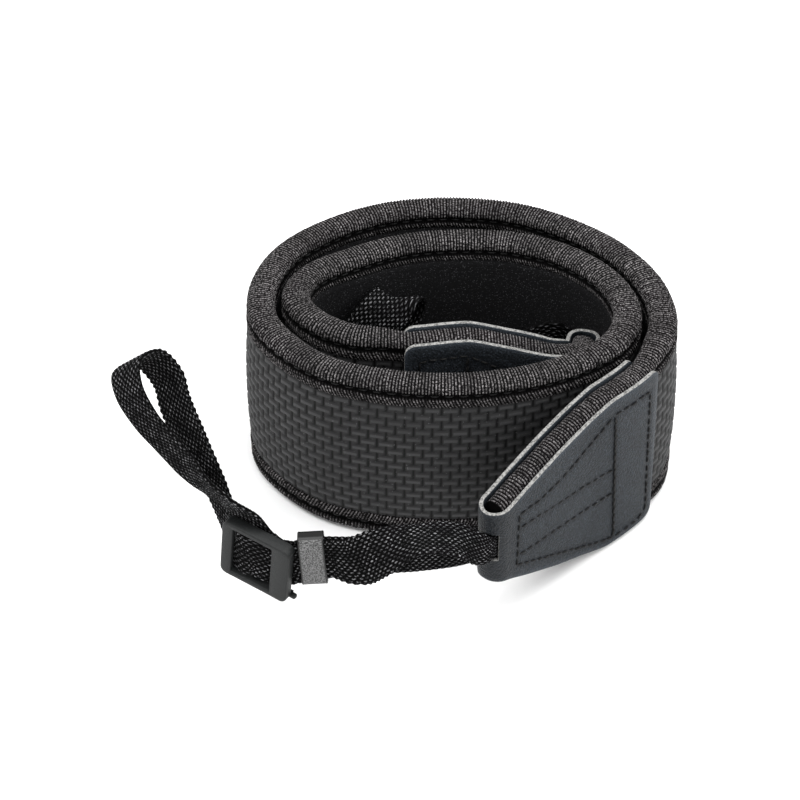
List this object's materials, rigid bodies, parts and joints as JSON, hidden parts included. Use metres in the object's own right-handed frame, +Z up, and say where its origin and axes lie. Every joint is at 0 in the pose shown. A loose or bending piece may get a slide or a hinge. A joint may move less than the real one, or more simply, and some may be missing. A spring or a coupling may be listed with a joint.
{
  "type": "camera neck strap",
  "caption": "Padded neck strap rolled up on its long edge, with leather ends and narrow webbing, each with a keeper, a sliding buckle and a small loop.",
  "frame": {"origin": "centre of the whole part's footprint, on the surface that it stands on", "axes": "+Z up, the way the strap's width stands; +Y away from the viewer, so the outer leather end is at the front; +X to the viewer's right"},
  "size_m": [0.106, 0.0924, 0.0474],
  "materials": {
    "knit": "fine plain knit over foam, near black",
    "rubber": "embossed in a basket pattern, half matte",
    "elastic": "ribbed elastic edging, warm dark grey",
    "leather": "fine grain, slate black, pale cut edges, black stitching",
    "webbing": "tight woven webbing with light specks",
    "keeper": "speckled grey band",
    "plastic": "satin moulded plastic, dark grey"
  },
  "bodies": {
    "root": {"pad": "knit", "outer_panel": "rubber", "binding_top": "elastic", "binding_bottom": "elastic", "leather_end_outer": "leather", "leather_end_inner": "leather", "webbing_outer": "webbing", "keeper_outer": "keeper", "buckle_outer": "plastic", "webbing_inner": "webbing", "keeper_inner": "keeper", "buckle_inner": "plastic"}
  },
  "joints": []
}
